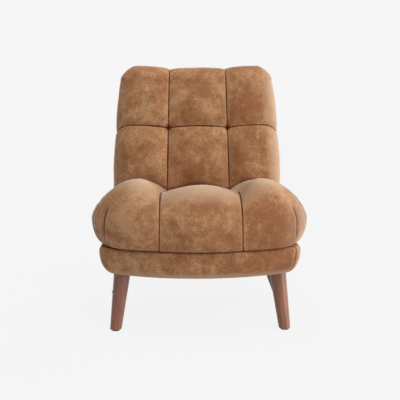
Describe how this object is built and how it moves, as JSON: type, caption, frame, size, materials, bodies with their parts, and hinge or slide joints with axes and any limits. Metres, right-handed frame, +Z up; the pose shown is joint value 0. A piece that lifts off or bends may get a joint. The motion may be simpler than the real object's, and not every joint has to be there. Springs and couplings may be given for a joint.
{
  "type": "armless lounge chair",
  "caption": "Armless leather lounge chair with a channelled seat cushion, a panelled tufted back, a leather-wrapped base and splayed round wooden legs.",
  "frame": {"origin": "on the floor under the middle of the chair's overall length and width", "axes": "+Z up, the front of the seat faces -Y, +X towards the viewer's right"},
  "size_m": [0.6714, 0.7842, 0.83],
  "materials": {
    "leather": "satin",
    "walnut": "satin",
    "frame_wood": "matte",
    "zinc_steel": "satin",
    "glide_nylon": "matte",
    "webbing": "matte",
    "felt": "matte",
    "foam": "matte",
    "dust_cloth": "matte"
  },
  "bodies": {
    "root": {"leg_front_left": "walnut", "leg_front_right": "walnut", "leg_rear_left": "walnut", "leg_rear_right": "walnut", "floor_glides": "glide_nylon", "leg_bolts": "zinc_steel", "leg_plates": "zinc_steel", "plate_screws": "zinc_steel", "front_rail": "frame_wood", "rear_rail": "frame_wood", "side_rail_left": "frame_wood", "side_rail_right": "frame_wood", "block_front_left": "frame_wood", "block_front_right": "frame_wood", "block_rear_left": "frame_wood", "block_rear_right": "frame_wood", "seat_webbing": "webbing", "cross_webbing": "webbing", "deck_pad": "felt", "seat_foam": "foam", "seat_cover": "leather", "base_front_panel": "leather", "base_left_panel": "leather", "base_right_panel": "leather", "base_rear_panel": "leather", "dust_cover": "dust_cloth", "back_post_left": "frame_wood", "back_post_right": "frame_wood", "back_top_rail": "frame_wood", "back_lower_rail": "frame_wood", "back_bolts": "zinc_steel", "back_webbing": "webbing", "back_foam": "foam", "back_cover": "leather", "outside_back": "leather"}
  },
  "joints": []
}
